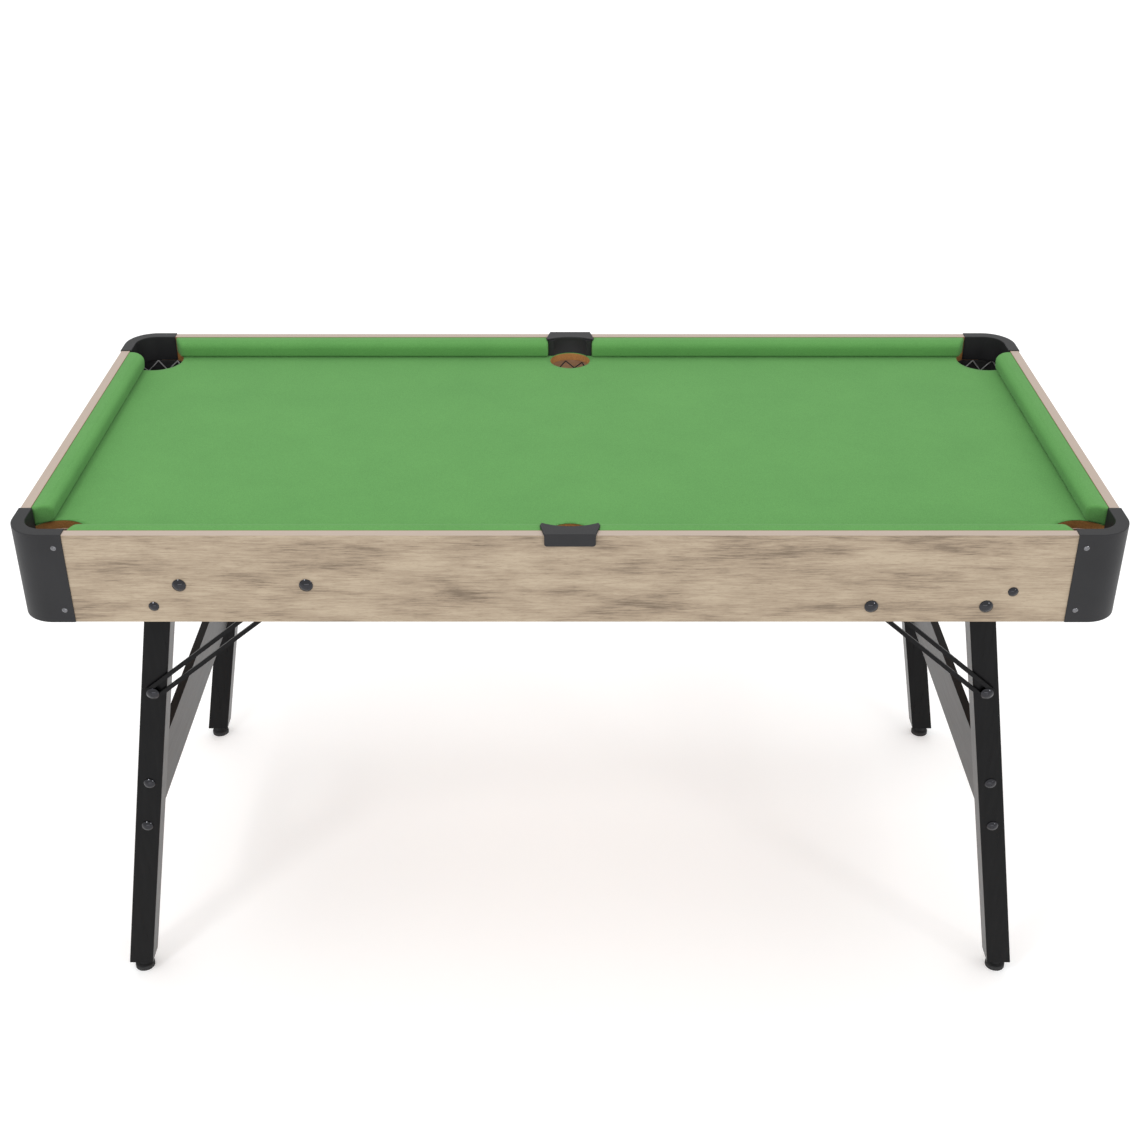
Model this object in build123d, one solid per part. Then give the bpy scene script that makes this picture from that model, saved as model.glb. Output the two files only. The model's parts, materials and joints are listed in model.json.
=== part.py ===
from build123d import *
import os
from math import atan2, cos, degrees, hypot, radians, sin, sqrt

# A small pool table on two folding leg frames. Millimetres, +Z up, +X along the table,
# with the origin on the floor under the table's middle. The front is -Y and the left is -X.

# Overall sizes
table_length = 1490.0
table_width = 713.0
rail_height = 800.0
apron_height = 133.0
apron_thickness = 14.0

# Bed and cloth
bed_drop = 27.0
bed_thickness = 12.0
cloth_thickness = 0.8

# Pockets: each centre is measured in from the outer faces
corner_pocket_inset = 50.0
corner_pocket_radius = 44.0
middle_pocket_inset = 51.0
middle_pocket_radius = 33.5
net_wall = 1.5
net_gap = 1.0
corner_net_depth = 66.0
middle_net_depth = 46.0

# Cushions
cushion_width = 26.4
cushion_drop = 0.5
cushion_end_cut = 12.0
cushion_nose_radius = 7.0

# Corner caps
cap_seat = 0.7
cap_corner_radius = 46.0
cap_skin = 1.5
cap_liner = 2.5
cap_void_radius = 14.0
cap_edge_radius = 1.0
apron_end_gap = 2.0

# Middle pocket plates
plate_outer_half_width = 34.0
plate_inner_half_width = 40.0
plate_horn_half_width = 38.0
plate_horn_depth = 31.0
plate_side_depth = 25.0
plate_middle_depth = 21.0
plate_thickness = 3.0
plate_edge_cut = 0.8
plate_lip_height = 15.0
plate_lip_corner = 4.0
plate_set_back = 0.5
plate_liner_half_width = 36.0
cushion_plate_gap = 0.5

# Small screws through the caps
screw_head_radius = 3.75
screw_head_height = 1.6
screw_shank_radius = 1.5
cap_screw_edge = 12.0
cap_screw_top = 20.0
cap_screw_bottom = 19.0
screw_bite = 11.0

# Bolts through the long aprons
large_head_radius = 9.25
large_head_height = 5.0
small_head_radius = 7.0
small_head_height = 4.0
bolt_radius = 4.0
bolt_clearance = 0.05
nut_radius = 7.0
nut_height = 5.0

# Where the bolts are: inset from the table's end, and drop below the rail
pivot_inset = 184.6
pivot_drop = 108.6
left_anchor_inset = 392.1
left_anchor_drop = 75.7
right_anchor_inset = 339.3
right_anchor_drop = 108.6
left_bearer_inset = 222.4
left_bearer_bolt_drop = 75.7
left_bearer_foot_drop = 88.0
right_bearer_inset = 151.3
right_bearer_bolt_drop = 85.8
right_bearer_foot_drop = 98.0
bearer_thickness = 18.0
bearer_bolt_bite = 40.0
ledger_size = 12.0
ledger_pocket_gap = 8.0

# Legs
leg_section = 36.0
leg_edge_radius = 1.5
leg_splay = 9.62
leg_face_gap = 11.0
leg_clear_of_floor = 21.0
brace_pin_drop = 158.1
brace_head_radius = 9.0
brace_head_height = 5.0
brace_washer_height = 2.0
stretcher_near = 295.6
stretcher_depth = 134.0
stretcher_thickness = 12.0
stretcher_screw_inset = 27.0
stretcher_screw_bite = 25.0
stretcher_head_radius = 8.5
stretcher_head_height = 5.5

# Slotted steel braces
brace_width = 22.0
brace_slot_width = 10.0
brace_thickness = 3.0

# Levelling feet
foot_disc_radius = 15.0
foot_disc_height = 7.0
foot_cone_radius = 8.0
foot_cone_height = 4.0
foot_stem_radius = 4.0
foot_stem_length = 38.0
foot_insert_wall = 2.0
foot_insert_flange_radius = 10.0
foot_insert_flange_height = 1.5
foot_insert_depth = 34.0
foot_hole_spare = 2.0

# Worked out from the sizes above
half_length = table_length / 2
half_width = table_width / 2
apron_bottom = rail_height - apron_height
cloth_top = rail_height - bed_drop
bed_top = cloth_top - cloth_thickness
bed_bottom = bed_top - bed_thickness
pocket_set_in = corner_pocket_inset - apron_thickness
pocket_cut_reach = corner_pocket_inset + sqrt(corner_pocket_radius**2 - pocket_set_in**2)
cap_reach = pocket_cut_reach + cap_seat
inner_half_length = half_length - apron_thickness
inner_half_width = half_width - apron_thickness
cap_top = rail_height + cap_skin
pivot_height = rail_height - pivot_drop
leg_outer_y = inner_half_width - leg_face_gap
leg_inner_y = leg_outer_y - leg_section
brace_outer_y = inner_half_width - leg_face_gap + brace_washer_height + brace_thickness
pin_radius = brace_slot_width / 2 - bolt_clearance


def slab(x_low, x_high, y_low, y_high, z_low, z_high):
    """A box between two corners."""
    size = Box(x_high - x_low, y_high - y_low, z_high - z_low)
    return Pos((x_low + x_high) / 2, (y_low + y_high) / 2, (z_low + z_high) / 2) * size


def upright(radius, x, y, z_low, z_high):
    """A round bar along Z."""
    return Pos(x, y, (z_low + z_high) / 2) * Cylinder(radius, z_high - z_low)


def crossways(radius, x, z, y_low, y_high):
    """A round bar along Y."""
    return Pos(x, (y_low + y_high) / 2, z) * Rot(90, 0, 0) * Cylinder(radius, y_high - y_low)


def front_to_back(shape):
    return mirror(shape, about=Plane.XZ)


def left_to_right(shape):
    return mirror(shape, about=Plane.YZ)


def both_sides(shape):
    """A front piece and its copy at the back."""
    return [shape, front_to_back(shape)]


def all_corners(shape):
    """A front left piece and its three copies."""
    return both_sides(shape) + both_sides(left_to_right(shape))


def cut(shape, tools):
    for tool in tools:
        shape = shape - tool
    return shape


def domed_bolt(head_radius, head_height, shank_radius, shank_length):
    """A button head that stands on Z = 0, with its shank below."""
    dome_height = head_height * 0.8
    dome_radius = (head_radius**2 + dome_height**2) / (2 * dome_height)
    head = Pos(0, 0, head_height / 2) * Cylinder(head_radius, head_height)
    head &= Pos(0, 0, head_height - dome_radius) * Sphere(dome_radius)
    return head + Pos(0, 0, -shank_length / 2) * Cylinder(shank_radius, shank_length)


def facing_front(bolt, x, y, z):
    """Turn a bolt so that its head looks to the front, seated at y."""
    return Pos(x, y, z) * Rot(90, 0, 0) * bolt


def save(name, pieces):
    """One node: a single solid, or separate solids as one group."""
    shape = pieces if not isinstance(pieces, list) else Compound(children=pieces)
    export_step(shape, "parts/" + name + ".step")


# ---------------------------------------------------------------- fasteners' places

left_anchor_x = left_anchor_inset - half_length
left_anchor_z = rail_height - left_anchor_drop
right_anchor_x = half_length - right_anchor_inset
right_anchor_z = rail_height - right_anchor_drop
left_bearer_x = left_bearer_inset - half_length
left_bearer_z = rail_height - left_bearer_bolt_drop
right_bearer_x = half_length - right_bearer_inset
right_bearer_z = rail_height - right_bearer_bolt_drop
left_pivot_x = pivot_inset - half_length
right_pivot_x = half_length - pivot_inset
cap_screw_x = cap_reach - cap_screw_edge - half_length
cap_screw_y = cap_reach - cap_screw_edge - half_width
cap_screw_heights = [cap_top - cap_screw_top, apron_bottom + cap_screw_bottom]
apron_bolt_places = [
    (left_pivot_x, pivot_height),
    (right_pivot_x, pivot_height),
    (left_anchor_x, left_anchor_z),
    (right_anchor_x, right_anchor_z),
    (left_bearer_x, left_bearer_z),
    (right_bearer_x, right_bearer_z),
]


def cap_screw():
    return domed_bolt(screw_head_radius, screw_head_height, screw_shank_radius, cap_skin + screw_bite)


def front_left_cap_screws():
    """The four screws of the front left cap: two on each of its faces."""
    screws = []
    for z in cap_screw_heights:
        screws.append(facing_front(cap_screw(), cap_screw_x, -half_width - cap_skin, z))
        screws.append(Pos(-half_length - cap_skin, cap_screw_y, z) * Rot(0, -90, 0) * cap_screw())
    return screws


def front_left_cap_screw_holes():
    radius = screw_shank_radius + bolt_clearance
    depth = screw_bite + cap_skin + 1
    holes = []
    for z in cap_screw_heights:
        holes.append(crossways(radius, cap_screw_x, z, -half_width - cap_skin, depth - half_width))
        bar = Pos(depth / 2 - half_length - cap_skin, cap_screw_y, z) * Rot(0, 90, 0)
        holes.append(bar * Cylinder(radius, depth))
    return holes


# ---------------------------------------------------------------- bed, cloth and aprons


def pocket_cutters(z_low, z_high):
    """The six pocket openings: the corner ones are open to the bed's corners."""
    corner_x = corner_pocket_inset - half_length
    corner_y = corner_pocket_inset - half_width
    corner = upright(corner_pocket_radius, corner_x, corner_y, z_low, z_high)
    corner += slab(-half_length, corner_x, -half_width, corner_y, z_low, z_high)
    middle_y = middle_pocket_inset - half_width
    middle = upright(middle_pocket_radius, 0, middle_y, z_low, z_high)
    return all_corners(corner) + both_sides(middle)


def bed_layer(z_low, z_high):
    sheet = slab(
        -inner_half_length, inner_half_length, -inner_half_width, inner_half_width, z_low, z_high
    )
    return cut(sheet, pocket_cutters(z_low - 1, z_high + 1))


def front_apron():
    end = half_length - cap_corner_radius - apron_end_gap
    board = slab(-end, end, -half_width, -inner_half_width, apron_bottom, rail_height)
    screw_holes = front_left_cap_screw_holes()
    screw_holes += [left_to_right(hole) for hole in front_left_cap_screw_holes()]
    board = cut(board, screw_holes)
    for x, z in apron_bolt_places:
        board -= crossways(bolt_radius + bolt_clearance, x, z, -half_width - 1, 1 - inner_half_width)
    return board


def left_apron():
    end = half_width - cap_corner_radius - apron_end_gap
    board = slab(-half_length, -inner_half_length, -end, end, apron_bottom, rail_height)
    screw_holes = front_left_cap_screw_holes()
    screw_holes += [front_to_back(hole) for hole in front_left_cap_screw_holes()]
    return cut(board, screw_holes)


# ---------------------------------------------------------------- cushions


def cushion(root_start, root_end, nose_start, nose_end):
    """A rail cushion along X: its back is on Y = 0 and its nose is at Y = cushion_width."""
    corners = [(root_start, 0), (root_end, 0), (nose_end, cushion_width), (nose_start, cushion_width)]
    plan = make_face(Polyline(*corners, close=True))
    block = extrude(plan, rail_height - cushion_drop - cloth_top)
    top_nose = block.edges().filter_by(Axis.X).group_by(Axis.Z)[-1].sort_by(Axis.Y)[-1]
    return Pos(0, 0, cloth_top) * fillet(top_nose, cushion_nose_radius)


def front_left_cushion():
    start = cap_reach - half_length
    end = -plate_liner_half_width - cushion_plate_gap
    return Pos(0, -inner_half_width, 0) * cushion(start, end, start + cushion_end_cut, end)


def left_cushion():
    end = half_width - cap_reach
    long_way = cushion(-end, end, cushion_end_cut - end, end - cushion_end_cut)
    return Pos(-inner_half_length, 0, 0) * Rot(0, 0, -90) * long_way


# ---------------------------------------------------------------- caps and plates


def front_left_cap():
    """A moulded corner: a skin outside the aprons, a rim on top and the pocket's back wall."""
    radius = cap_corner_radius + cap_skin
    outline = RectangleRounded(table_length + 2 * cap_skin, table_width + 2 * cap_skin, radius)
    body = Pos(0, 0, apron_bottom) * extrude(outline, cap_top - apron_bottom)
    reach_x = cap_reach - half_length
    reach_y = cap_reach - half_width
    outside = cap_skin + 1
    body &= slab(
        -half_length - outside, reach_x, -half_width - outside, reach_y, apron_bottom, cap_top
    )
    rim_inset = apron_thickness + cap_liner
    rim_radius = cap_corner_radius - rim_inset
    throat = RectangleRounded(table_length - 2 * rim_inset, table_width - 2 * rim_inset, rim_radius)
    body -= Pos(0, 0, bed_bottom) * extrude(throat, cap_top - bed_bottom + 1)
    under = RectangleRounded(2 * inner_half_length, 2 * inner_half_width, cap_void_radius)
    body -= Pos(0, 0, apron_bottom - 1) * extrude(under, bed_bottom - apron_bottom + 1)
    body -= bed_layer(bed_bottom, cloth_top)
    apron_start_x = cap_corner_radius + apron_end_gap - half_length
    apron_start_y = cap_corner_radius + apron_end_gap - half_width
    body -= slab(apron_start_x, 0, -half_width, -inner_half_width, apron_bottom - 1, rail_height)
    body -= slab(-half_length, -inner_half_length, apron_start_y, 0, apron_bottom - 1, rail_height)
    rim = body.faces().sort_by(Axis.Z)[-1]
    body = fillet(rim.edges(), cap_edge_radius)
    return cut(body, front_left_cap_screw_holes())


def front_pocket_plate():
    """A flared plate over the rail at the middle pocket, with an outer lip and a pocket wall."""
    outer_y = -half_width - plate_thickness
    side_y = plate_side_depth - half_width
    horn_y = plate_horn_depth - half_width
    rim = Polyline(
        (-plate_horn_half_width, horn_y),
        (-plate_inner_half_width, side_y),
        (-plate_outer_half_width, outer_y),
        (plate_outer_half_width, outer_y),
        (plate_inner_half_width, side_y),
        (plate_horn_half_width, horn_y),
    )
    mouth = ThreePointArc(
        (plate_horn_half_width, horn_y),
        (0, plate_middle_depth - half_width),
        (-plate_horn_half_width, horn_y),
    )
    plate = extrude(make_face(rim + mouth), plate_thickness)
    plate = chamfer(plate.faces().sort_by(Axis.Z)[-1].edges(), plate_edge_cut)
    plate = Pos(0, 0, rail_height) * plate
    lip = slab(
        -plate_outer_half_width,
        plate_outer_half_width,
        outer_y,
        -half_width,
        rail_height - plate_lip_height,
        rail_height,
    )
    lower_corners = lip.edges().filter_by(Axis.Y).group_by(Axis.Z)[0]
    lip = fillet(lower_corners, plate_lip_corner)
    width = plate_liner_half_width
    wall = slab(-width, width, -inner_half_width, horn_y, cloth_top, rail_height)
    throat_radius = middle_pocket_radius + plate_set_back
    wall -= upright(throat_radius, 0, middle_pocket_inset - half_width, bed_bottom, rail_height + 1)
    return plate + lip + wall


# ---------------------------------------------------------------- pocket nets


def net_cup(radius, x, y, depth):
    """A string bag as a thin cup under the bed, kept inside the aprons and the caps."""
    z_low = bed_bottom - depth
    room = [2 * (inner_half_length - net_gap), 2 * (inner_half_width - net_gap)]
    outer_limit = extrude(RectangleRounded(*room, cap_void_radius), rail_height)
    inner_room = [size - 2 * net_wall for size in room]
    inner_limit = extrude(RectangleRounded(*inner_room, cap_void_radius), rail_height)
    outer = upright(radius, x, y, z_low, bed_bottom) & outer_limit
    inner = upright(radius - net_wall, x, y, z_low + net_wall, bed_bottom + 1) & inner_limit
    return outer - inner


def front_left_net():
    x = corner_pocket_inset - half_length
    y = corner_pocket_inset - half_width
    return net_cup(corner_pocket_radius, x, y, corner_net_depth)


def front_middle_net():
    return net_cup(middle_pocket_radius, 0, middle_pocket_inset - half_width, middle_net_depth)


# ---------------------------------------------------------------- bed supports


def bearer(x, foot_drop):
    """A board on edge across the table, under the bed."""
    half = bearer_thickness / 2
    low = rail_height - foot_drop
    return slab(x - half, x + half, -inner_half_width, inner_half_width, low, bed_bottom)


def bearer_with_holes(x, z, foot_drop):
    board = bearer(x, foot_drop)
    hole_end = bearer_bolt_bite + 1 - inner_half_width
    hole = crossways(bolt_radius + bolt_clearance, x, z, -inner_half_width - 1, hole_end)
    return cut(board, both_sides(hole))


def bed_ledgers():
    """Battens glued inside the aprons, stopping short of the pockets and the bearers."""
    z_low = bed_bottom - ledger_size
    y_high = ledger_size - inner_half_width
    near = middle_pocket_radius + ledger_pocket_gap
    left_end = left_bearer_x + bearer_thickness / 2
    right_end = right_bearer_x - bearer_thickness / 2
    battens = both_sides(slab(left_end, -near, -inner_half_width, y_high, z_low, bed_bottom))
    battens += both_sides(slab(near, right_end, -inner_half_width, y_high, z_low, bed_bottom))
    end_y = half_width - corner_pocket_inset - corner_pocket_radius - ledger_pocket_gap
    x_high = ledger_size - inner_half_length
    end_batten = slab(-inner_half_length, x_high, -end_y, end_y, z_low, bed_bottom)
    return battens + [end_batten, left_to_right(end_batten)]


# ---------------------------------------------------------------- bolts on the aprons


def apron_bolts(x, z, head_radius, head_height, length):
    bolt = domed_bolt(head_radius, head_height, bolt_radius, length)
    return both_sides(facing_front(bolt, x, -half_width, z))


def hex_nut(x, z, y_low, y_high):
    """A nut on a bolt that lies along Y."""
    thickness = y_high - y_low
    ring = RegularPolygon(nut_radius, 6) - Circle(bolt_radius + bolt_clearance)
    nut = extrude(ring, thickness)
    return Pos(x, y_high, z) * Rot(90, 0, 0) * nut


def washer(radius, hole_radius, x, z, y_low, y_high):
    ring = crossways(radius, x, z, y_low, y_high)
    return ring - crossways(hole_radius, x, z, y_low - 1, y_high + 1)


pivot_bolt_length = apron_thickness + leg_face_gap + leg_section + nut_height
leg_nut_y = -leg_inner_y

# ---------------------------------------------------------------- leg frames, drawn on the left


def splayed(shape):
    """Swing a piece drawn along the leg, with the pivot at its origin, to its place."""
    return Pos(left_pivot_x, 0, pivot_height) * Rot(0, leg_splay, 0) * shape


def down_leg(distance):
    """A point on the leg's middle line, so far below the pivot."""
    lean = radians(leg_splay)
    return left_pivot_x - distance * sin(lean), pivot_height - distance * cos(lean)


foot_x, foot_top = down_leg((pivot_height - leg_clear_of_floor) / cos(radians(leg_splay)))
brace_pin_x, brace_pin_z = down_leg(brace_pin_drop)
stretcher_mid = stretcher_near + stretcher_depth / 2
stretcher_screw_spots = [
    stretcher_near + stretcher_screw_inset,
    stretcher_near + stretcher_depth - stretcher_screw_inset,
]
foot_y = -(leg_outer_y + leg_inner_y) / 2
foot_insert_radius = foot_stem_radius + bolt_clearance + foot_insert_wall


def front_leg():
    half = leg_section / 2
    reach = rail_height
    bar = slab(-half, half, -leg_outer_y, -leg_inner_y, -reach, 0)
    bar = fillet(bar.edges().filter_by(Axis.Z), leg_edge_radius)
    bar += crossways(half, 0, 0, -leg_outer_y, -leg_inner_y)
    bar = splayed(bar)
    bar &= slab(-table_length, table_length, -half_width, half_width, leg_clear_of_floor, rail_height)
    bolt_hole = bolt_radius + bolt_clearance
    holes = [crossways(bolt_hole, left_pivot_x, pivot_height, -half_width, 0)]
    holes.append(crossways(bolt_hole, brace_pin_x, brace_pin_z, -half_width, 0))
    for distance in stretcher_screw_spots:
        x, z = down_leg(distance)
        holes.append(crossways(bolt_hole, x, z, -half_width, 0))
    hole_top = leg_clear_of_floor + foot_insert_depth + foot_hole_spare
    holes.append(upright(foot_insert_radius, foot_x, foot_y, leg_clear_of_floor - 1, hole_top))
    return cut(bar, holes)


def stretcher():
    """The board between the two legs, in their own slope."""
    half = stretcher_thickness / 2
    far = stretcher_near + stretcher_depth
    board = splayed(slab(-half, half, -leg_inner_y, leg_inner_y, -far, -stretcher_near))
    for distance in stretcher_screw_spots:
        x, z = down_leg(distance)
        hole_end = stretcher_screw_bite + 1 - leg_inner_y
        hole = crossways(bolt_radius + bolt_clearance, x, z, -leg_inner_y - 1, hole_end)
        board = cut(board, both_sides(hole))
    return board


def stretcher_screws():
    screws = []
    length = leg_section + stretcher_screw_bite
    for distance in stretcher_screw_spots:
        x, z = down_leg(distance)
        bolt = domed_bolt(stretcher_head_radius, stretcher_head_height, bolt_radius, length)
        screws += both_sides(facing_front(bolt, x, -leg_outer_y, z))
    return screws


def brace_pins():
    """Shoulder bolts: the wide shoulder carries the brace's slot, and the thread holds the leg."""
    head_y = brace_washer_height + brace_thickness + bolt_clearance
    bolt = domed_bolt(brace_head_radius, brace_head_height, pin_radius, head_y)
    bolt += Pos(0, 0, -head_y - leg_section / 2) * Cylinder(bolt_radius, leg_section)
    return both_sides(facing_front(bolt, brace_pin_x, -leg_outer_y - head_y, brace_pin_z))


def brace_washers():
    y_low = -leg_outer_y - brace_washer_height
    hole = pin_radius + bolt_clearance
    return both_sides(washer(brace_head_radius, hole, brace_pin_x, brace_pin_z, y_low, -leg_outer_y))


def foot_inserts():
    """Threaded sleeves in the legs' ends, for the feet's stems."""
    low = leg_clear_of_floor - foot_insert_flange_height
    sleeve = upright(foot_insert_radius, foot_x, foot_y, low, leg_clear_of_floor + foot_insert_depth)
    sleeve += upright(foot_insert_flange_radius, foot_x, foot_y, low, leg_clear_of_floor)
    bore = foot_stem_radius + bolt_clearance
    sleeve -= upright(bore, foot_x, foot_y, 0, leg_clear_of_floor + foot_insert_depth + 1)
    return both_sides(sleeve)


def foot():
    """A levelling foot: a disc, a cone and a stem."""
    cone_top = foot_disc_height + foot_cone_height
    disc = Pos(foot_x, foot_y, 0) * extrude(Circle(foot_disc_radius), foot_disc_height)
    disc = fillet(disc.edges().group_by(Axis.Z)[-1], foot_disc_height / 3)
    cone = Cone(foot_cone_radius, foot_stem_radius, foot_cone_height)
    disc += Pos(foot_x, foot_y, foot_disc_height + foot_cone_height / 2) * cone
    return disc + upright(foot_stem_radius, foot_x, foot_y, cone_top, cone_top + foot_stem_length)


def brace(anchor_x, anchor_z):
    """A slotted strip from the leg's pin to the apron's anchor bolt."""
    run_x = anchor_x - brace_pin_x
    run_z = anchor_z - brace_pin_z
    length = hypot(run_x, run_z)
    strip = SlotCenterToCenter(length, brace_width) - SlotCenterToCenter(length, brace_slot_width)
    blank = Pos(length / 2, 0, 0) * extrude(strip, brace_thickness)
    flat = Rot(90, 0, 0) * blank
    turned = Rot(0, -degrees(atan2(run_z, run_x)), 0) * flat
    return Pos(brace_pin_x, brace_thickness - brace_outer_y, brace_pin_z) * turned


# ---------------------------------------------------------------- the pieces, node by node

os.makedirs("parts", exist_ok=True)

save("bed_board", bed_layer(bed_bottom, bed_top))
save("bed_cloth", bed_layer(bed_top, cloth_top))

front_board = front_apron()
left_board = left_apron()
save("front_apron", front_board)
save("back_apron", front_to_back(front_board))
save("left_apron", left_board)
save("right_apron", left_to_right(left_board))

long_cushion = front_left_cushion()
end_cushion = left_cushion()
cap = front_left_cap()
corner_net = front_left_net()
for name, piece in [("cushion", long_cushion), ("corner_cap", cap), ("corner_net", corner_net)]:
    save("front_left_" + name, piece)
    save("back_left_" + name, front_to_back(piece))
    save("front_right_" + name, left_to_right(piece))
    save("back_right_" + name, front_to_back(left_to_right(piece)))
save("left_cushion", end_cushion)
save("right_cushion", left_to_right(end_cushion))

for name, piece in [("pocket_plate", front_pocket_plate()), ("middle_net", front_middle_net())]:
    save("front_" + name, piece)
    save("back_" + name, front_to_back(piece))

corner_screws = []
for screw in front_left_cap_screws():
    corner_screws += all_corners(screw)
save("corner_cap_screws", corner_screws)

save("left_bed_bearer", bearer_with_holes(left_bearer_x, left_bearer_z, left_bearer_foot_drop))
save("right_bed_bearer", bearer_with_holes(right_bearer_x, right_bearer_z, right_bearer_foot_drop))
save("bed_ledgers", bed_ledgers())

bearer_bolt_length = apron_thickness + bearer_bolt_bite
anchor_bolt_length = apron_thickness + nut_height
large = (large_head_radius, large_head_height)
small = (small_head_radius, small_head_height)
save("left_bearer_bolts", apron_bolts(left_bearer_x, left_bearer_z, *large, bearer_bolt_length))
save("right_bearer_bolts", apron_bolts(right_bearer_x, right_bearer_z, *small, bearer_bolt_length))
save("left_leg_pivot_bolts", apron_bolts(left_pivot_x, pivot_height, *small, pivot_bolt_length))
save("right_leg_pivot_bolts", apron_bolts(right_pivot_x, pivot_height, *large, pivot_bolt_length))
anchor_bolts = apron_bolts(left_anchor_x, left_anchor_z, *large, anchor_bolt_length)
anchor_bolts += apron_bolts(right_anchor_x, right_anchor_z, *large, anchor_bolt_length)
save("brace_anchor_bolts", anchor_bolts)

anchor_nuts = []
for x, z in [(left_anchor_x, left_anchor_z), (right_anchor_x, right_anchor_z)]:
    anchor_nuts += both_sides(hex_nut(x, z, -inner_half_width, nut_height - inner_half_width))
save("brace_anchor_nuts", anchor_nuts)
pivot_nuts = []
pivot_spacers = []
for x in [left_pivot_x, right_pivot_x]:
    pivot_nuts += both_sides(hex_nut(x, pivot_height, leg_nut_y, leg_nut_y + nut_height))
    hole = bolt_radius + bolt_clearance
    spacer = washer(nut_radius, hole, x, pivot_height, -inner_half_width, -leg_outer_y)
    pivot_spacers += both_sides(spacer)
save("leg_pivot_nuts", pivot_nuts)
save("leg_pivot_spacers", pivot_spacers)

leg = front_leg()
left_brace = brace(left_anchor_x, left_anchor_z)
right_brace = brace(-right_anchor_x, right_anchor_z)
level_foot = foot()
frame_pieces = {
    "stretcher": stretcher(),
    "stretcher_screws": stretcher_screws(),
    "brace_pins": brace_pins(),
    "brace_washers": brace_washers(),
    "foot_inserts": foot_inserts(),
}
for name, piece in frame_pieces.items():
    save("left_" + name, piece)
    if isinstance(piece, list):
        save("right_" + name, [left_to_right(solid) for solid in piece])
    else:
        save("right_" + name, left_to_right(piece))
for name, left_piece, right_piece in [
    ("leg", leg, leg),
    ("foot", level_foot, level_foot),
    ("brace", left_brace, right_brace),
]:
    save("front_left_" + name, left_piece)
    save("back_left_" + name, front_to_back(left_piece))
    save("front_right_" + name, left_to_right(right_piece))
    save("back_right_" + name, front_to_back(left_to_right(right_piece)))

print("leg pivots at", left_pivot_x, right_pivot_x, pivot_height)
print("brace pins at", brace_pin_x, brace_pin_z, "feet at", foot_x, foot_y)
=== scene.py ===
import json
import math
import bpy
import numpy as np
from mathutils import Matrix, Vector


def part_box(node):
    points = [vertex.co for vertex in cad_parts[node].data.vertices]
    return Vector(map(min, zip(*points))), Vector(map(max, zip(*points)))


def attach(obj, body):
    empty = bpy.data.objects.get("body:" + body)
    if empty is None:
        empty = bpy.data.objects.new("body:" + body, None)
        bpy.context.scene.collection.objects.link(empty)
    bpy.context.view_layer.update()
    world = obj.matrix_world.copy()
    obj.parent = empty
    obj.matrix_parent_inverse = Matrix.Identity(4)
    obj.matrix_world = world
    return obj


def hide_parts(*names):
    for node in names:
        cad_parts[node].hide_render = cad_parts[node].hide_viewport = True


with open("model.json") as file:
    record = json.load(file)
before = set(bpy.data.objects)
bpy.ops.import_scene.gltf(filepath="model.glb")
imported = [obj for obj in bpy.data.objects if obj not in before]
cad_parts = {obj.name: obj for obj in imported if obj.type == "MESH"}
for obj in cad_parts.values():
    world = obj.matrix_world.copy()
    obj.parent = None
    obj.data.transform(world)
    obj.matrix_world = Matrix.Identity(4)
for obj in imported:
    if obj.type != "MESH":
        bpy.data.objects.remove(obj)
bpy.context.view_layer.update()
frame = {"nodes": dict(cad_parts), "record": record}
nodes = frame["nodes"]
scene = bpy.context.scene
print("frame loaded:", len(nodes), "nodes")


# Colours are written as they look on a screen, 0 to 255, and turned into linear light here
def tone(red, green, blue):
    shown = np.array([red, green, blue]) / 255.0
    linear = np.where(shown <= 0.04045, shown / 12.92, ((shown + 0.055) / 1.055) ** 2.4)
    return (*[float(part) for part in linear], 1.0)


# helpers for the node trees of the materials
def newMaterial(name, roughness, **sockets):
    material = bpy.data.materials.new(name)
    material.use_nodes = True
    shader = material.node_tree.nodes["Principled BSDF"]
    shader.inputs["Roughness"].default_value = roughness
    for label, value in sockets.items():
        shader.inputs[label.replace("_", " ")].default_value = value
    return material, shader


def addNode(material, kind, **settings):
    node = material.node_tree.nodes.new(kind)
    for label, value in settings.items():
        if hasattr(node, label):
            setattr(node, label, value)
        else:
            node.inputs[label.replace("_", " ")].default_value = value
    return node


def join(material, source, target):
    material.node_tree.links.new(source, target)


def stretchedPlace(material, stretch):
    # Object coordinates, drawn out by a different amount along each axis
    place = addNode(material, "ShaderNodeTexCoord")
    mapping = addNode(material, "ShaderNodeMapping")
    mapping.inputs["Scale"].default_value = stretch
    join(material, place.outputs["Object"], mapping.inputs["Vector"])
    return mapping.outputs["Vector"]


def noise(material, place, scale, detail=4.0, rough=0.55, distortion=0.0):
    texture = addNode(material, "ShaderNodeTexNoise", Scale=scale, Detail=detail)
    texture.inputs["Roughness"].default_value = rough
    texture.inputs["Distortion"].default_value = distortion
    join(material, place, texture.inputs["Vector"])
    return texture.outputs["Fac"]


def ramp(material, source, stops):
    node = addNode(material, "ShaderNodeValToRGB")
    points = node.color_ramp.elements
    points[0].position, points[0].color = stops[0]
    points[1].position, points[1].color = stops[-1]
    for position, colour in stops[1:-1]:
        points.new(position).color = colour
    join(material, source, node.inputs["Fac"])
    return node.outputs["Color"]


def twoTone(material, source, dark, light):
    return ramp(material, source, [(0.3, tone(*dark)), (0.7, tone(*light))])


def mixColours(material, factor, first, second, blend="MIX"):
    node = addNode(material, "ShaderNodeMix", data_type="RGBA", blend_type=blend)
    for value, socket in ((factor, node.inputs[0]), (first, node.inputs[6]), (second, node.inputs[7])):
        if isinstance(value, bpy.types.NodeSocket):
            join(material, value, socket)
        else:
            socket.default_value = value
    return node.outputs[2]


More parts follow.
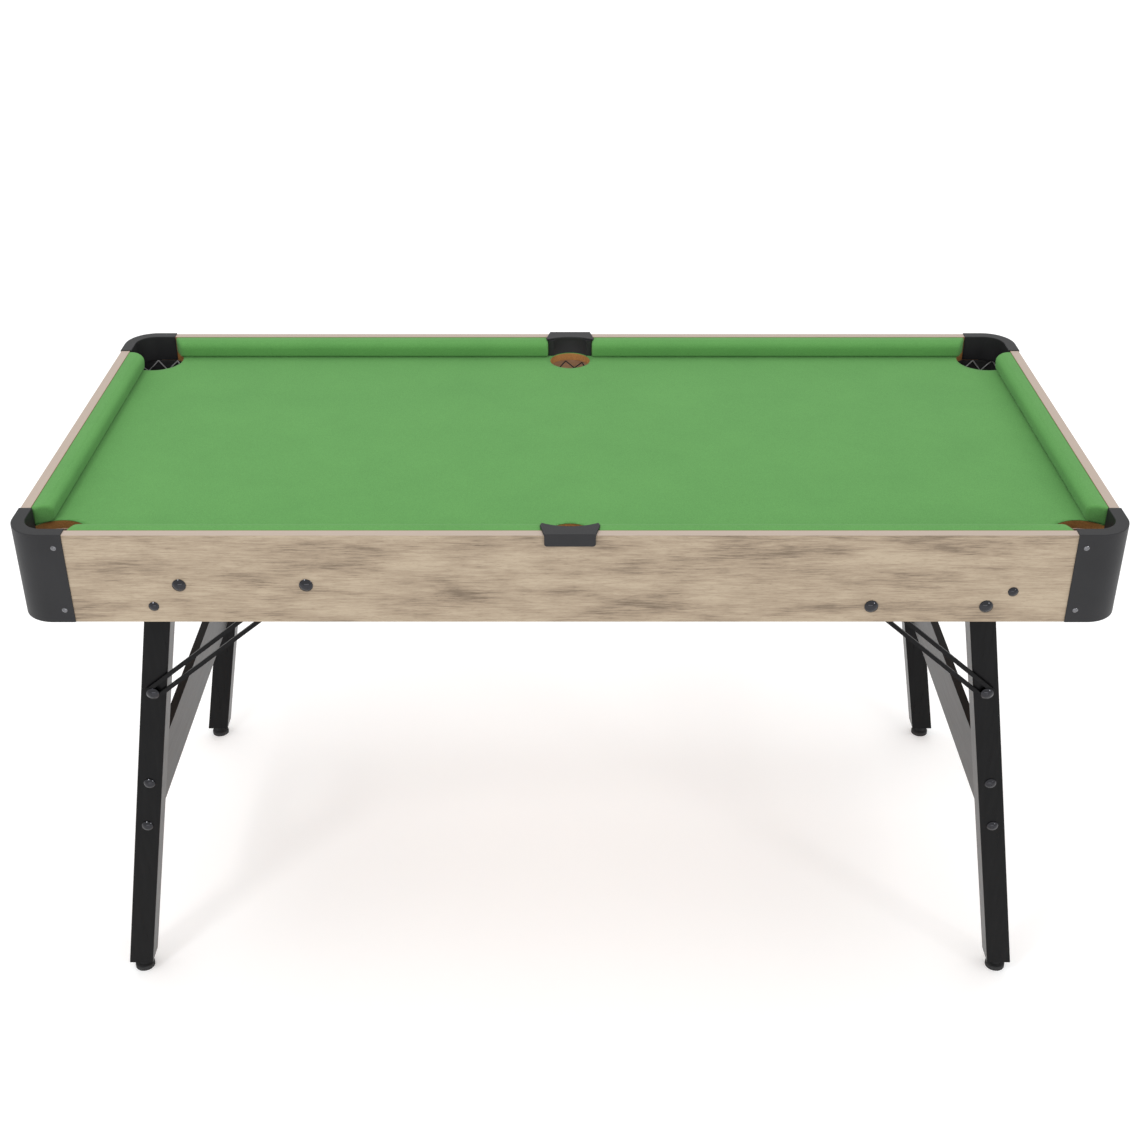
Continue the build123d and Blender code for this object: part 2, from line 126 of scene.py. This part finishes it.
def sums(material, operation, first, second):
    node = addNode(material, "ShaderNodeMath", operation=operation)
    for value, socket in ((first, node.inputs[0]), (second, node.inputs[1])):
        if isinstance(value, bpy.types.NodeSocket):
            join(material, value, socket)
        else:
            socket.default_value = value
    return node.outputs[0]


def bump(material, shader, height, strength, distance):
    node = addNode(material, "ShaderNodeBump", Strength=strength, Distance=distance)
    join(material, height, node.inputs["Height"])
    join(material, node.outputs["Normal"], shader.inputs["Normal"])


def varyRoughness(material, shader, source, low, high):
    span = addNode(material, "ShaderNodeMapRange")
    span.inputs["To Min"].default_value = low
    span.inputs["To Max"].default_value = high
    join(material, source, span.inputs["Value"])
    join(material, span.outputs["Result"], shader.inputs["Roughness"])


clothLook = {
    "light": (101, 160, 88), "dark": (97, 155, 85), "fleck": 0.8,
    "threads": 1100.0, "fuzz": 900.0, "nap": 9.0, "bump": 0.25,
}


def clothMaterial():
    # a fine plain weave: two crossed sets of threads, with soft patches of nap over them
    material, shader = newMaterial("greenCloth", 0.95, Sheen_Weight=0.06, Specular_IOR_Level=0.15)
    place = stretchedPlace(material, (1, 1, 1))
    split = addNode(material, "ShaderNodeSeparateXYZ")
    join(material, place, split.inputs[0])
    pitch = clothLook["threads"] * 2
    warp = sums(material, "SINE", sums(material, "MULTIPLY", split.outputs[0], pitch), 0)
    drop = sums(material, "ADD", split.outputs[1], split.outputs[2])
    weft = sums(material, "SINE", sums(material, "MULTIPLY", drop, pitch), 0)
    weave = sums(material, "MULTIPLY", warp, weft)
    fuzz = noise(material, place, clothLook["fuzz"], 3.0)
    nap = noise(material, place, clothLook["nap"], 5.0, 0.6)
    patches = twoTone(material, nap, clothLook["dark"], clothLook["light"])
    fleck = (*[clothLook["fleck"]] * 3, 1)
    flecks = ramp(material, fuzz, [(0.35, fleck), (0.65, (1, 1, 1, 1))])
    colour = mixColours(material, 1.0, patches, flecks, "MULTIPLY")
    join(material, colour, shader.inputs["Base Color"])
    height = sums(material, "ADD", sums(material, "MULTIPLY", weave, 0.5), fuzz)
    bump(material, shader, height, clothLook["bump"], 0.0004)
    return material


oakLook = {
    "dark": (112, 97, 80), "middle": (154, 137, 116), "light": (172, 156, 134),
    # the two edge tones are a painted highlight, laid on the faces that point up
    "edge": (184, 167, 154), "edgeHighlightDark": (173, 156, 142), "pore": (0.62, 0.58, 0.54, 1),
    "bareDark": (134, 96, 66), "bareLight": (168, 128, 94), "blotchShare": 0.52,
    "blotchLength": 0.11, "blotchStretch": 4.5, "streakLength": 0.034, "streakStretch": 16.0,
}


# how far the aprons' inner faces are from the middle, with a little to spare
innerHalf = (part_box("right_apron")[0].x + 0.0004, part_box("back_apron")[0].y + 0.0004)


def oakMaterial(name, along):
    # printed oak: broad darker patches, long thin streaks, and short dark pores, all drawn
    # out along the board
    material, shader = newMaterial(name, 0.45, Specular_IOR_Level=0.4)

    def drawnOut(stretch):
        across = (1.0, stretch, stretch) if along == "X" else (stretch, 1.0, stretch)
        return stretchedPlace(material, across)

    broad = drawnOut(oakLook["blotchStretch"])
    blotches = noise(material, broad, 1 / oakLook["blotchLength"], 3.0, 0.5)
    fine = drawnOut(oakLook["streakStretch"])
    streaks = noise(material, fine, 1 / oakLook["streakLength"], 4.0, 0.7)
    pores = noise(material, fine, 3.5 / oakLook["streakLength"], 3.0, 0.6)
    share = oakLook["blotchShare"]
    blotchPart = sums(material, "MULTIPLY", blotches, share)
    streakPart = sums(material, "MULTIPLY", streaks, 1 - share)
    grain = sums(material, "ADD", blotchPart, streakPart)
    stops = [
        (0.34, tone(*oakLook["dark"])), (0.47, tone(*oakLook["middle"])), (0.6, tone(*oakLook["light"])),
    ]
    board = ramp(material, grain, stops)
    poreTone = ramp(material, pores, [(0.3, oakLook["pore"]), (0.45, (1, 1, 1, 1))])
    board = mixColours(material, 0.7, board, poreTone, "MULTIPLY")
    # the faces that point up get a paler, pinker band: a painted highlight standing in for the light
    # that the top edge catches
    facing = addNode(material, "ShaderNodeNewGeometry")
    up = addNode(material, "ShaderNodeSeparateXYZ")
    join(material, facing.outputs["Normal"], up.inputs[0])
    highlightOnTop = sums(material, "GREATER_THAN", up.outputs[2], 0.6)
    edgeHighlightTone = mixColours(material, streaks, tone(*oakLook["edgeHighlightDark"]), tone(*oakLook["edge"]))
    colour = mixColours(material, highlightOnTop, board, edgeHighlightTone)
    # the faces inside the frame are bare brown fibreboard
    spot = addNode(material, "ShaderNodeSeparateXYZ")
    join(material, stretchedPlace(material, (1, 1, 1)), spot.inputs[0])
    near = [
        sums(material, "LESS_THAN", sums(material, "ABSOLUTE", spot.outputs[axis], 0), innerHalf[axis])
        for axis in (0, 1)
    ]
    inside = sums(material, "MULTIPLY", *near)
    bare = mixColours(material, streaks, tone(*oakLook["bareDark"]), tone(*oakLook["bareLight"]))
    colour = mixColours(material, inside, colour, bare)
    join(material, colour, shader.inputs["Base Color"])
    varyRoughness(material, shader, streaks, 0.38, 0.55)
    bump(material, shader, sums(material, "ADD", streaks, pores), 0.12, 0.0003)
    return material


boardLook = {
    "dark": (128, 84, 40), "light": (186, 130, 68), "shade": (0.8, 0.8, 0.8, 1),
    "fibres": 420.0, "blotches": 25.0,
}


def boardMaterial():
    # raw fibreboard: warm brown, speckled with short fibres
    material, shader = newMaterial("fibreboard", 0.85)
    place = stretchedPlace(material, (1, 1, 2.5))
    fibres = noise(material, place, boardLook["fibres"], 6.0, 0.75)
    blotches = noise(material, place, boardLook["blotches"])
    base = twoTone(material, fibres, boardLook["dark"], boardLook["light"])
    shade = ramp(material, blotches, [(0.3, boardLook["shade"]), (0.7, (1, 1, 1, 1))])
    colour = mixColours(material, 0.5, base, shade, "MULTIPLY")
    join(material, colour, shader.inputs["Base Color"])
    bump(material, shader, fibres, 0.3, 0.0003)
    return material


plasticLook = {"dark": (33, 33, 35), "light": (38, 38, 40), "grain": 1500.0, "clouds": 14.0}


def plasticMaterial():
    # spark-textured black plastic, its grain about half a millimetre across
    material, shader = newMaterial("blackPlastic", 0.5, Specular_IOR_Level=0.26)
    place = stretchedPlace(material, (1, 1, 1))
    grain = noise(material, place, plasticLook["grain"], 3.0, 0.6)
    clouds = noise(material, place, plasticLook["clouds"], 3.0)
    colour = twoTone(material, clouds, plasticLook["dark"], plasticLook["light"])
    join(material, colour, shader.inputs["Base Color"])
    varyRoughness(material, shader, grain, 0.42, 0.58)
    bump(material, shader, grain, 0.16, 0.0003)
    return material


def blackFoilMaterial(name, colour, low, high, stretch):
    # black printed foil over wood, with faint grain pressed into it
    material, shader = newMaterial(name, low, Specular_IOR_Level=0.12)
    place = stretchedPlace(material, stretch)
    grain = noise(material, place, 160.0, 4.0, 0.6)
    shade = twoTone(material, grain, colour, [part + 7 for part in colour])
    join(material, shade, shader.inputs["Base Color"])
    varyRoughness(material, shader, grain, low, high)
    bump(material, shader, grain, 0.06, 0.0003)
    return material


def steelMaterial(name, colour, low, high):
    # polished steel under a thin clear coat, with fine marks
    material, shader = newMaterial(name, low, Metallic=1.0, Coat_Weight=0.7, Coat_Roughness=0.06)
    place = stretchedPlace(material, (1, 1, 1))
    marks = noise(material, place, 700.0, 3.0, 0.6)
    shade = twoTone(material, marks, [part * 0.85 for part in colour], colour)
    join(material, shade, shader.inputs["Base Color"])
    varyRoughness(material, shader, marks, low, high)
    bump(material, shader, marks, 0.05, 0.0002)
    return material


stringLook = {"dark": (122, 122, 124), "light": (178, 178, 178), "strands": 1800.0}


def stringMaterial():
    # string with fine strands
    material, shader = newMaterial("netString", 0.9, Sheen_Weight=0.2)
    place = stretchedPlace(material, (1, 1, 1))
    strands = noise(material, place, stringLook["strands"], 2.0)
    shade = twoTone(material, strands, stringLook["dark"], stringLook["light"])
    join(material, shade, shader.inputs["Base Color"])
    bump(material, shader, strands, 0.4, 0.0003)
    return material


def rubberMaterial(name, colour):
    # dull black rubber or webbing with a fine grain
    material, shader = newMaterial(name, 0.75)
    place = stretchedPlace(material, (1, 1, 1))
    grain = noise(material, place, 600.0, 4.0)
    shade = twoTone(material, grain, colour, [part + 10 for part in colour])
    join(material, shade, shader.inputs["Base Color"])
    bump(material, shader, grain, 0.2, 0.0003)
    return material


cloth = clothMaterial()
oakLong = oakMaterial("oakLong", "X")
oakEnd = oakMaterial("oakEnd", "Y")
fibreboard = boardMaterial()
plastic = plasticMaterial()
legFoil = blackFoilMaterial("legFoil", (12, 12, 13), 0.24, 0.34, (1, 1, 0.1))
stretcherFoil = blackFoilMaterial("stretcherFoil", (26, 25, 24), 0.3, 0.4, (1, 0.1, 1))
darkSteel = steelMaterial("darkSteel", (34, 34, 40), 0.08, 0.14)
braceCoat = blackFoilMaterial("braceCoat", (14, 14, 15), 0.28, 0.38, (1, 1, 1))
screwSteel = steelMaterial("screwSteel", (112, 112, 116), 0.14, 0.22)
netString = stringMaterial()
webbing = rubberMaterial("webbing", (22, 22, 23))
footRubber = rubberMaterial("footRubber", (26, 26, 27))
slotLooks = {
    "oak_laminate": oakLong, "green_cloth": cloth, "fibreboard": fibreboard,
    "black_plastic": plastic, "net_string": netString, "black_leg": legFoil,
    "black_board": stretcherFoil, "foot_rubber": footRubber, "brace_steel": braceCoat,
    "screw_steel": screwSteel, "dark_steel": darkSteel,
}
for part in frame["record"]["subparts"]:
    look = slotLooks[part["material_slot"]]
    if part["node"] in ("left_apron", "right_apron"):
        look = oakEnd
    nodes[part["node"]].data.materials.clear()
    nodes[part["node"]].data.materials.append(look)
print("materials done")


def makePiece(name, points, faces, material, smooth=True):
    mesh = bpy.data.meshes.new(name)
    mesh.from_pydata(points.reshape(-1, 3).tolist(), [], faces)
    mesh.validate()
    mesh.polygons.foreach_set("use_smooth", np.full(len(mesh.polygons), smooth))
    mesh.materials.append(material)
    piece = bpy.data.objects.new(name, mesh)
    scene.collection.objects.link(piece)
    return piece


def gridFaces(rows, columns, loopRows=False, loopColumns=False):
    # quads between neighbours on a grid; a looped side joins its last line to its first
    row = np.arange(rows if loopRows else rows - 1)[:, None]
    column = np.arange(columns if loopColumns else columns - 1)[None, :]
    nextRow = (row + 1) % rows
    nextColumn = (column + 1) % columns
    corners = [row * columns + column, nextRow * columns + column,
               nextRow * columns + nextColumn, row * columns + nextColumn]
    return np.stack(np.broadcast_arrays(*corners), axis=-1).reshape(-1, 4)


def tubes(paths, radius, sides):
    # a round tube along each path: the path's tangent is crossed with a fixed slanting
    # direction to give two axes, and a circle is drawn on them at every point
    tangent = np.gradient(paths, axis=1)
    tangent /= np.linalg.norm(tangent, axis=2, keepdims=True)
    slant = np.array([0.31, 0.17, 0.93])
    first = np.cross(tangent, slant)
    first /= np.linalg.norm(first, axis=2, keepdims=True)
    second = np.cross(tangent, first)
    turn = np.linspace(0, 2 * np.pi, sides, endpoint=False)
    ring = np.cos(turn)[:, None] * first[:, :, None, :] + np.sin(turn)[:, None] * second[:, :, None, :]
    points = paths[:, :, None, :] + radius * ring
    count, steps = paths.shape[:2]
    one = gridFaces(steps, sides, loopColumns=True)
    faces = (one[None] + (np.arange(count) * steps * sides)[:, None, None]).reshape(-1, 4)
    return points.reshape(-1, 3), faces


def fixNormals(piece):
    bpy.ops.object.select_all(action="DESELECT")
    bpy.context.view_layer.objects.active = piece
    piece.select_set(True)
    bpy.ops.object.mode_set(mode="EDIT")
    bpy.ops.mesh.select_all(action="SELECT")
    bpy.ops.mesh.remove_doubles(threshold=0.00001)
    bpy.ops.mesh.normals_make_consistent(inside=False)
    bpy.ops.object.mode_set(mode="OBJECT")


# cushions: a rubber profile under tight cloth, in metres
cushionShape = {
    "crown": 0.0013, "noseRadius": 0.010, "lean": 0.0022, "footRadius": 0.003,
    "endRound": 0.0045, "endStart": 0.12, "rings": 60, "endCut": 0.012, "gap": 0.0003,
    "backPoints": 6, "topPoints": 12, "nosePoints": 10, "facePoints": 8, "footPoints": 5,
}


def cushionProfile(width, height):
    # (inward, up) round the section: the back, a crowned top, a rounded nose, a face that
    # leans in a little towards its foot, and a flat bottom
    nose = cushionShape["noseRadius"]
    lean = cushionShape["lean"]
    foot = cushionShape["footRadius"]
    rise = np.linspace(0.0, height, cushionShape["backPoints"])
    back = np.stack([np.zeros_like(rise), rise], axis=1)
    along = np.linspace(0.0, width - nose, cushionShape["topPoints"])[1:]
    swell = cushionShape["crown"] * np.sin(np.pi * np.clip(along / width * 1.25, 0, 1))
    top = np.stack([along, height + swell], axis=1)
    turn = np.linspace(np.pi / 2, 0, cushionShape["nosePoints"])[1:]
    arc = np.stack([width - nose + nose * np.cos(turn), height - nose + nose * np.sin(turn)], axis=1)
    drop = np.linspace(height - nose, foot, cushionShape["facePoints"])[1:]
    inset = lean * ((height - nose - drop) / (height - nose)) ** 1.5
    face = np.stack([width - inset, drop], axis=1)
    turn = np.linspace(0, -np.pi / 2, cushionShape["footPoints"])[1:]
    heel = width - lean - foot
    edge = np.stack([heel + foot * np.cos(turn), foot + foot * np.sin(turn)], axis=1)
    under = np.linspace(heel, 0, cushionShape["facePoints"])[1:-1]
    bottom = np.stack([under, np.zeros_like(under)], axis=1)
    return np.concatenate([back, top, arc, face, edge, bottom])


def cushionPoints(length, width, height, cutStart, cutEnd):
    # the profile is carried from one end to the other; the ends slope back by the cut times
    # the share of the width, and the last few millimetres draw in along a quarter circle
    profile = cushionProfile(width, height)
    centre = np.array([width * 0.5, height * 0.5])
    roundness = cushionShape["endRound"]
    turn = np.linspace(0, np.pi / 2, 7)[:-1]
    near = np.sort(roundness * (1 - np.sin(turn + cushionShape["endStart"])))
    body = np.linspace(roundness, length - roundness, cushionShape["rings"])
    station = np.concatenate([near, body, length - near[::-1]])
    fromEnd = np.minimum(np.minimum(station, length - station), roundness) / roundness
    draw = roundness * (1 - np.sqrt(np.clip(1 - (1 - fromEnd) ** 2, 0, 1)))
    spread = profile - centre
    size = np.abs(spread).max(axis=0)
    section = centre + spread[None] * (1 - draw[:, None, None] / size)
    share = section[:, :, 0] / width
    middle = length / 2
    pull = np.where(station < middle, cutStart, cutEnd) * (1 - station / middle)
    x = station[:, None] + share * pull[:, None]
    return np.stack([x, section[:, :, 0], section[:, :, 1]], axis=2)


def makeCushion(node, alongX, flip, cutStart, cutEnd):
    # the cushion fills its box less a small gap; flip turns its nose the other way
    low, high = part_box(node)
    gap = cushionShape["gap"]
    length = (high.x - low.x if alongX else high.y - low.y) - 2 * gap
    width = (high.y - low.y if alongX else high.x - low.x) - gap
    height = high.z - low.z - gap
    points = cushionPoints(length, width, height, cutStart, cutEnd)
    u, inward, up = points[:, :, 0], points[:, :, 1], points[:, :, 2]
    start = low.x if alongX else low.y
    along = start + gap + u
    nearSide, farSide = (low.y, high.y) if alongX else (low.x, high.x)
    across = farSide - gap / 2 - inward if flip else nearSide + gap / 2 + inward
    order = [along, across] if alongX else [across, along]
    placed = np.stack(order + [low.z + gap + up], axis=2)
    rings, around = placed.shape[:2]
    faces = gridFaces(rings, around, loopColumns=True).tolist()
    faces.append(list(range(around)))
    faces.append([(rings - 1) * around + n for n in reversed(range(around))])
    piece = makePiece(node + "_cover", placed, faces, cloth)
    fixNormals(piece)
    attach(piece, "table")
    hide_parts(node)


cut = cushionShape["endCut"]
makeCushion("front_left_cushion", True, False, cut, 0.0)
makeCushion("front_right_cushion", True, False, 0.0, cut)
makeCushion("back_left_cushion", True, True, cut, 0.0)
makeCushion("back_right_cushion", True, True, 0.0, cut)
makeCushion("left_cushion", False, False, cut, cut)
makeCushion("right_cushion", False, True, cut, cut)
print("cushions done")


# the bed cloth: one sheet glued to the bed, cut round the pockets
bedSheet = {
    "cell": 0.006, "cornerInset": 0.050, "cornerRadius": 0.0438,
    "middleInset": 0.051, "middleRadius": 0.0333,
}


def bedCloth():
    # a flat grid; cells inside a pocket are dropped, and grid points near a pocket's edge
    # are moved along the radius until they lie on its circle; a corner cell beyond the
    # pocket's centre goes too, and the strip behind a middle pocket keeps its outer edge
    low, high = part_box("bed_cloth")
    columns = int(round((high.x - low.x) / bedSheet["cell"])) + 1
    rows = int(round((high.y - low.y) / bedSheet["cell"])) + 1
    xLine, yLine = np.linspace(low.x, high.x, columns), np.linspace(low.y, high.y, rows)
    x, y = np.meshgrid(xLine, yLine, indexing="ij")
    points = np.stack([x, y, np.full_like(x, high.z)], axis=2).reshape(-1, 3)
    faces = gridFaces(columns, rows)
    centres = points[faces].mean(axis=1)
    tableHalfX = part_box("left_apron")[0].x * -1
    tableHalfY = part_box("front_apron")[0].y * -1
    keep = np.ones(len(faces), bool)
    for sideX in (-1, 0, 1):
        for sideY in (-1, 1):
            inset = bedSheet["middleInset" if sideX == 0 else "cornerInset"]
            radius = bedSheet["middleRadius" if sideX == 0 else "cornerRadius"]
            holeX = sideX * (tableHalfX - inset)
            holeY = sideY * (tableHalfY - inset)
            away = np.hypot(centres[:, 0] - holeX, centres[:, 1] - holeY)
            beyondY = (centres[:, 1] - holeY) * sideY > 0
            beyondX = (centres[:, 0] - holeX) * sideX > 0
            keep &= (away > radius) & ~(beyondX & beyondY)
            offset = points[:, :2] - [holeX, holeY]
            reach = np.hypot(offset[:, 0], offset[:, 1])
            near = np.abs(reach - radius) < bedSheet["cell"] * 0.75
            near &= ~((offset[:, 1] * sideY > 0) & (offset[:, 0] * sideX > 0))
            near &= (np.abs(points[:, 1]) < high.y - 1e-6) | (sideX != 0)
            points[near, :2] = [holeX, holeY] + offset[near] * (radius / reach[near])[:, None]
    used = faces[keep]
    index, packed = np.unique(used, return_inverse=True)
    piece = makePiece("bed_sheet", points[index], packed.reshape(-1, 4).tolist(), cloth)
    thickness = piece.modifiers.new("thickness", "SOLIDIFY")
    thickness.thickness = high.z - low.z
    thickness.offset = -1.0
    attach(piece, "table")
    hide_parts("bed_cloth")


bedCloth()
print("bed cloth done")


# pocket nets: bags of crossing strings that hang below the bed; shares are of the depth
netShape = {
    "strings": 7, "steps": 40, "string": 0.0011, "sides": 6, "turns": 0.24,
    "straight": 0.45, "closing": 0.56, "power": 2.2, "smallest": 0.07,
    "wallGap": 0.0165, "cornerGap": 0.0015, "ringGap": 0.0012, "endGap": 0.0015,
    "lining": 0.0009, "around": 72, "levels": 26, "liningDrop": 0.001,
}


def makeNet(node, cornerX, sideY):
    # each string runs down and round: its angle grows evenly with depth while its distance
    # from the middle follows a bag's outline, limited by the aprons' inner faces
    low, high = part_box(node)
    radius = (high.x - low.x) / 2 if cornerX == 0 else bedSheet["cornerRadius"] - netShape["cornerGap"]
    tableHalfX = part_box("left_apron")[0].x * -1
    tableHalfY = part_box("front_apron")[0].y * -1
    inset = bedSheet["middleInset" if cornerX == 0 else "cornerInset"]
    centreX = cornerX * (tableHalfX - inset)
    centreY = sideY * (tableHalfY - inset)
    wall = inset - netShape["wallGap"]
    radius -= netShape["ringGap"]

    def limited(angle, reach):
        towardsY = np.maximum(np.sin(angle) * sideY, 1e-6)
        reach = np.minimum(reach, wall / towardsY)
        if cornerX:
            towardsX = np.maximum(np.cos(angle) * cornerX, 1e-6)
            reach = np.minimum(reach, wall / towardsX)
        return reach

    def ringAt(angle, share):
        # the bag keeps its width for half its depth, then closes in a rounded bottom
        closed = np.clip((share - netShape["straight"]) / netShape["closing"], 0, 1)
        bag = np.sqrt(np.clip(1 - closed ** netShape["power"], 0, 1))
        reach = limited(angle, radius * np.maximum(bag, netShape["smallest"]))
        z = high.z - netShape["endGap"] - share * (high.z - low.z - 2 * netShape["endGap"])
        return np.stack([centreX + reach * np.cos(angle), centreY + reach * np.sin(angle), z], axis=-1)

    share = np.linspace(0.0, 1.0, netShape["steps"])[None, :]
    start = np.linspace(0, 2 * np.pi, netShape["strings"], endpoint=False)[:, None]
    twist = share * netShape["turns"] * 2 * np.pi
    leftward = ringAt(start + twist, share + 0 * start)
    rightward = ringAt(start - twist, share + 0 * start)
    paths = np.concatenate([leftward, rightward])
    points, faces = tubes(paths, netShape["string"], netShape["sides"])
    strings = makePiece(node + "_strings", points, faces.tolist(), netString if cornerX else webbing)
    fixNormals(strings)
    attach(strings, "table")
    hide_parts(node)
    if not cornerX:
        return

    # a corner bag has a black lining with the same outline, just outside the strings
    around = netShape["around"]
    levels = netShape["levels"]
    angle = np.linspace(0, 2 * np.pi, around, endpoint=False)[None, :]
    depth = np.linspace(0.0, 1.0, levels)[:, None]
    bag = ringAt(angle + 0 * depth, depth + 0 * angle)
    outward = bag[:, :, :2] - [centreX, centreY]
    reach = np.linalg.norm(outward, axis=2, keepdims=True)
    bag[:, :, :2] += outward / reach * 2 * netShape["lining"]
    bag[:, :, 2] -= np.linspace(0.0, netShape["liningDrop"], levels)[:, None]
    faces = gridFaces(levels, around, loopColumns=True).tolist()
    faces.append([(levels - 1) * around + n for n in range(around)])
    lining = makePiece(node + "_lining", bag, faces, webbing)
    fixNormals(lining)
    thickness = lining.modifiers.new("wall", "SOLIDIFY")
    thickness.thickness = netShape["lining"]
    thickness.offset = 0.0
    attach(lining, "table")


for cornerX, where in ((-1, "left_corner"), (0, "middle"), (1, "right_corner")):
    for sideY, face in ((-1, "front"), (1, "back")):
        makeNet(face + "_" + where + "_net", cornerX, sideY)
print("nets done")


stageLook = {
    "floor": 120.0, "glow": 0.2, "floorDark": 0.94, "floorLight": 0.95, "clouds": 3.0,
    "camera": (0.0, -2.179, 1.800), "tilt": 60.0, "lens": 50.0, "sensor": 36.0,
    "lights": [    # name, place, aim, size in metres, power in watts
        ("keyLight", (-1.2, -1.8, 2.6), (0, 0, 0.7), (0.34, 0.34), 12.0),
        ("fillLight", (2.4, -2.4, 2.0), (0, 0, 0.6), (0.34, 0.34), 8.0),
        ("frontLight", (0.0, -3.4, 0.9), (0, 0, 0.78), (3.0, 0.5), 9.0),
        ("topLight", (0.2, 1.2, 3.0), (0, 0, 0.7), (3.0, 1.6), 8.0),
    ],
}


def makeFloor():
    material, shader = newMaterial("paleFloor", 0.6, Specular_IOR_Level=0.2)
    place = stretchedPlace(material, (1, 1, 1))
    dark = (*[stageLook["floorDark"]] * 3, 1)
    light = (*[stageLook["floorLight"]] * 3, 1)
    clouds = noise(material, place, stageLook["clouds"])
    shade = ramp(material, clouds, [(0.3, dark), (0.7, light)])
    join(material, shade, shader.inputs["Base Color"])
    shader.inputs["Emission Color"].default_value = (1, 1, 1, 1)
    shader.inputs["Emission Strength"].default_value = stageLook["glow"]
    half = stageLook["floor"] / 2
    corners = np.array([[-half, -half, 0], [half, -half, 0], [half, half, 0], [-half, half, 0]])
    floor = makePiece("floor", corners, [[0, 1, 2, 3]], material, smooth=False)


def addLight(name, place, aim, size, power):
    lamp = bpy.data.lights.new(name, "AREA")
    lamp.shape = "RECTANGLE"
    lamp.size, lamp.size_y = size
    lamp.energy = power
    holder = bpy.data.objects.new(name, lamp)
    scene.collection.objects.link(holder)
    x, y, z = [aim[n] - place[n] for n in range(3)]
    flat = math.hypot(x, y)
    holder.location = place
    holder.rotation_euler = (math.atan2(flat, -z), 0.0, math.atan2(-x, y))


makeFloor()
for light in stageLook["lights"]:
    addLight(*light)

world = bpy.data.worlds.new("softWhite")
world.use_nodes = True
world.node_tree.nodes["Background"].inputs["Color"].default_value = (1, 1, 1, 1)
world.node_tree.nodes["Background"].inputs["Strength"].default_value = 1.0
scene.world = world
scene.view_settings.view_transform = "Standard"

cameraData = bpy.data.cameras.new("camera")
cameraData.lens = stageLook["lens"]
cameraData.sensor_width = stageLook["sensor"]
camera = bpy.data.objects.new("camera", cameraData)
camera.location = stageLook["camera"]
camera.rotation_euler = (math.radians(stageLook["tilt"]), 0.0, 0.0)
scene.collection.objects.link(camera)
scene.camera = camera
print("stage done")
